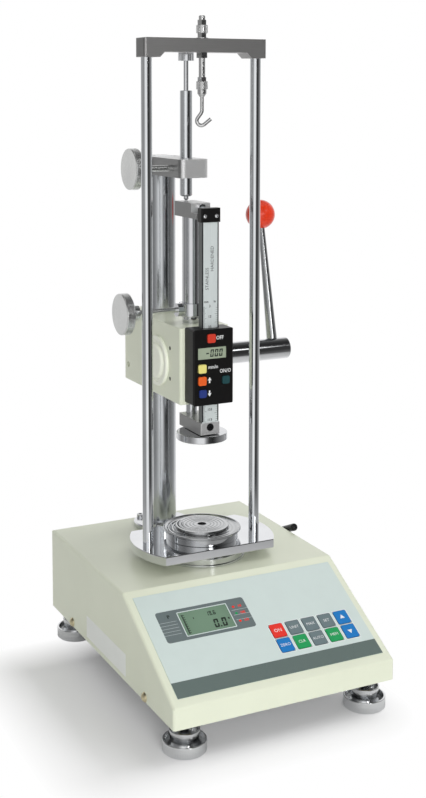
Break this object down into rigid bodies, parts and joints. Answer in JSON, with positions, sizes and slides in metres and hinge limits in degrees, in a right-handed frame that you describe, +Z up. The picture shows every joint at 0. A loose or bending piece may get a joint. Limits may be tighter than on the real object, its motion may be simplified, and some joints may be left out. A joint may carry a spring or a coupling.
{
  "type": "spring tester",
  "caption": "Bench spring tester: rack-and-pinion ram worked by a ball-ended lever over a load plate, with a hook frame, a column, a sliding-scale readout and a sloped display panel.",
  "frame": {"origin": "on the surface that the feet stand on, under the middle of the base, which is within 4 mm of the middle of the whole part's box", "axes": "+Z up along the column; +X to the right as seen by the user, towards the lever; +Y away from the user, from the sloped panel to the column"},
  "size_m": [0.233, 0.3012, 0.6298],
  "materials": {
    "cream_paint": "smooth semi-gloss paint",
    "base_aluminium": "milled",
    "cell_aluminium": "milled",
    "turned_steel": "turned, lightly polished",
    "chrome": "hard chrome plated and polished",
    "satin_steel": "ground satin",
    "black_steel": "black oxide",
    "spring_steel": "tempered strip",
    "bronze": "sintered",
    "scale_steel": "brushed stainless with a pale scale",
    "black_plastic": "fine grain",
    "panel_film": "printed film",
    "lcd": "display window",
    "red_plastic": "polished",
    "yellow_plastic": "smooth",
    "orange_plastic": "smooth",
    "navy_plastic": "smooth",
    "teal_plastic": "smooth",
    "grey_plastic": "film key",
    "blue_plastic": "film key",
    "green_plastic": "film key"
  },
  "bodies": {
    "frame": {"base_housing": "cream_paint", "base_plate": "base_aluminium", "load_cell": "cell_aluminium", "load_stem": "turned_steel", "load_ring": "chrome", "yoke_plate": "chrome", "compression_plate": "chrome", "frame_rods": "chrome", "crossbar": "satin_steel", "socket_screws": "black_steel", "hook_stud": "chrome", "top_bracket": "satin_steel", "column": "chrome", "column_flange": "chrome", "head_body": "cream_paint", "head_cover": "cream_paint", "return_spring": "spring_steel", "shaft_bushes": "bronze", "readout_housing": "black_plastic", "readout_lcd": "lcd", "front_panel": "panel_film", "force_display": "lcd", "base_fasteners": "turned_steel"},
    "hook_body": {"hook_coupler": "chrome", "hook": "chrome"},
    "stop_tube": {"stop_tube": "chrome"},
    "stop_screw": {"stop_screw": "chrome"},
    "bracket_knob": {"bracket_knob": "turned_steel"},
    "lever": {"pinion_shaft": "chrome", "lever_rod": "chrome", "ball_knob": "red_plastic"},
    "ram_body": {"ram": "chrome", "ram_top_block": "satin_steel", "scale_beam": "scale_steel", "scale_end_cap": "black_plastic", "ram_screws": "turned_steel", "ram_bottom_block": "satin_steel", "pressure_disc": "chrome"},
    "stop_collar": {"stop_collar": "satin_steel"},
    "collar_knob": {"collar_knob": "turned_steel"},
    "side_lock": {"side_lock": "black_steel"},
    "off_button": {"off_button": "red_plastic"},
    "unit_button": {"unit_button": "yellow_plastic"},
    "preset_up_button": {"preset_up_button": "orange_plastic"},
    "preset_down_button": {"preset_down_button": "navy_plastic"},
    "zero_button": {"zero_button": "teal_plastic"},
    "key_a1": {"key_a1": "red_plastic"},
    "key_a2": {"key_a2": "grey_plastic"},
    "key_a3": {"key_a3": "grey_plastic"},
    "key_a4": {"key_a4": "grey_plastic"},
    "key_a5": {"key_a5": "blue_plastic"},
    "key_b1": {"key_b1": "blue_plastic"},
    "key_b2": {"key_b2": "green_plastic"},
    "key_b3": {"key_b3": "grey_plastic"},
    "key_b4": {"key_b4": "green_plastic"},
    "key_b5": {"key_b5": "blue_plastic"},
    "foot_front_left": {"foot_front_left": "turned_steel"},
    "foot_front_right": {"foot_front_right": "turned_steel"},
    "foot_rear_left": {"foot_rear_left": "turned_steel"},
    "foot_rear_right": {"foot_rear_right": "turned_steel"}
  },
  "joints": [
    {"name": "hook_swivel", "type": "hinge", "parent": "frame", "child": "hook_body", "pos_m": [0, 0.021, 0.56], "axis": [0, 0, 1], "continuous": true},
    {"name": "stop_tube_slide", "type": "slide", "parent": "frame", "child": "stop_tube", "axis": [0, 0, 1], "range_m": [0, 0.03]},
    {"name": "stop_screw_turn", "type": "hinge", "parent": "stop_tube", "child": "stop_screw", "pos_m": [0, 0.056, 0.5], "axis": [0, 0, 1], "continuous": true},
    {"name": "bracket_knob_turn", "type": "hinge", "parent": "frame", "child": "bracket_knob", "pos_m": [-0.05, 0.056, 0.4845], "axis": [-1, 0, 0], "range_deg": [0, 360]},
    {"name": "lever_turn", "type": "hinge", "parent": "frame", "child": "lever", "pos_m": [0, 0.0665, 0.294], "axis": [1, 0, 0], "range_deg": [0, 270], "stiffness_Nm_per_rad": 0.1, "springref_deg": -114.59},
    {"name": "ram_slide", "type": "slide", "parent": "frame", "child": "ram_body", "axis": [0, 0, -1], "range_m": [0, 0.0745]},
    {"name": "collar_slide", "type": "slide", "parent": "frame", "child": "stop_collar", "axis": [0, 0, 1], "range_m": [-0.005, 0.007]},
    {"name": "collar_knob_turn", "type": "hinge", "parent": "stop_collar", "child": "collar_knob", "pos_m": [-0.05, 0.044, 0.347], "axis": [-1, 0, 0], "range_deg": [0, 360]},
    {"name": "off_button_press", "type": "slide", "parent": "frame", "child": "off_button", "axis": [0, 1, 0], "range_m": [0, 0.0008], "stiffness_N_per_m": 800, "springref_m": -0.0005},
    {"name": "unit_button_press", "type": "slide", "parent": "frame", "child": "unit_button", "axis": [0, 1, 0], "range_m": [0, 0.0008], "stiffness_N_per_m": 800, "springref_m": -0.0005},
    {"name": "preset_up_button_press", "type": "slide", "parent": "frame", "child": "preset_up_button", "axis": [0, 1, 0], "range_m": [0, 0.0008], "stiffness_N_per_m": 800, "springref_m": -0.0005},
    {"name": "preset_down_button_press", "type": "slide", "parent": "frame", "child": "preset_down_button", "axis": [0, 1, 0], "range_m": [0, 0.0008], "stiffness_N_per_m": 800, "springref_m": -0.0005},
    {"name": "zero_button_press", "type": "slide", "parent": "frame", "child": "zero_button", "axis": [0, 1, 0], "range_m": [0, 0.0008], "stiffness_N_per_m": 800, "springref_m": -0.0005},
    {"name": "key_a1_press", "type": "slide", "parent": "frame", "child": "key_a1", "axis": [0, 0.485, -0.8745], "range_m": [0, 0.0005], "stiffness_N_per_m": 1200, "springref_m": -0.0004},
    {"name": "key_a2_press", "type": "slide", "parent": "frame", "child": "key_a2", "axis": [0, 0.485, -0.8745], "range_m": [0, 0.0005], "stiffness_N_per_m": 1200, "springref_m": -0.0004},
    {"name": "key_a3_press", "type": "slide", "parent": "frame", "child": "key_a3", "axis": [0, 0.485, -0.8745], "range_m": [0, 0.0005], "stiffness_N_per_m": 1200, "springref_m": -0.0004},
    {"name": "key_a4_press", "type": "slide", "parent": "frame", "child": "key_a4", "axis": [0, 0.485, -0.8745], "range_m": [0, 0.0005], "stiffness_N_per_m": 1200, "springref_m": -0.0004},
    {"name": "key_a5_press", "type": "slide", "parent": "frame", "child": "key_a5", "axis": [0, 0.485, -0.8745], "range_m": [0, 0.0005], "stiffness_N_per_m": 1200, "springref_m": -0.0004},
    {"name": "key_b1_press", "type": "slide", "parent": "frame", "child": "key_b1", "axis": [0, 0.485, -0.8745], "range_m": [0, 0.0005], "stiffness_N_per_m": 1200, "springref_m": -0.0004},
    {"name": "key_b2_press", "type": "slide", "parent": "frame", "child": "key_b2", "axis": [0, 0.485, -0.8745], "range_m": [0, 0.0005], "stiffness_N_per_m": 1200, "springref_m": -0.0004},
    {"name": "key_b3_press", "type": "slide", "parent": "frame", "child": "key_b3", "axis": [0, 0.485, -0.8745], "range_m": [0, 0.0005], "stiffness_N_per_m": 1200, "springref_m": -0.0004},
    {"name": "key_b4_press", "type": "slide", "parent": "frame", "child": "key_b4", "axis": [0, 0.485, -0.8745], "range_m": [0, 0.0005], "stiffness_N_per_m": 1200, "springref_m": -0.0004},
    {"name": "key_b5_press", "type": "slide", "parent": "frame", "child": "key_b5", "axis": [0, 0.485, -0.8745], "range_m": [0, 0.0005], "stiffness_N_per_m": 1200, "springref_m": -0.0004},
    {"name": "foot_front_left_turn", "type": "hinge", "parent": "frame", "child": "foot_front_left", "pos_m": [-0.091, -0.13, 0], "axis": [0, 0, 1], "continuous": true},
    {"name": "foot_front_right_turn", "type": "hinge", "parent": "frame", "child": "foot_front_right", "pos_m": [0.091, -0.13, 0], "axis": [0, 0, 1], "continuous": true},
    {"name": "foot_rear_left_turn", "type": "hinge", "parent": "frame", "child": "foot_rear_left", "pos_m": [-0.091, 0.13, 0], "axis": [0, 0, 1], "continuous": true},
    {"name": "foot_rear_right_turn", "type": "hinge", "parent": "frame", "child": "foot_rear_right", "pos_m": [0.091, 0.13, 0], "axis": [0, 0, 1], "continuous": true},
    {"name": "side_lock_turn", "type": "hinge", "parent": "frame", "child": "side_lock", "pos_m": [0.11, 0.084, 0.092], "axis": [1, 0, 0], "range_deg": [0, 90]}
  ],
  "couplings": [
    {"joint": "ram_slide", "follows": "lever_turn", "m_per_rad": 0.01575}
  ]
}
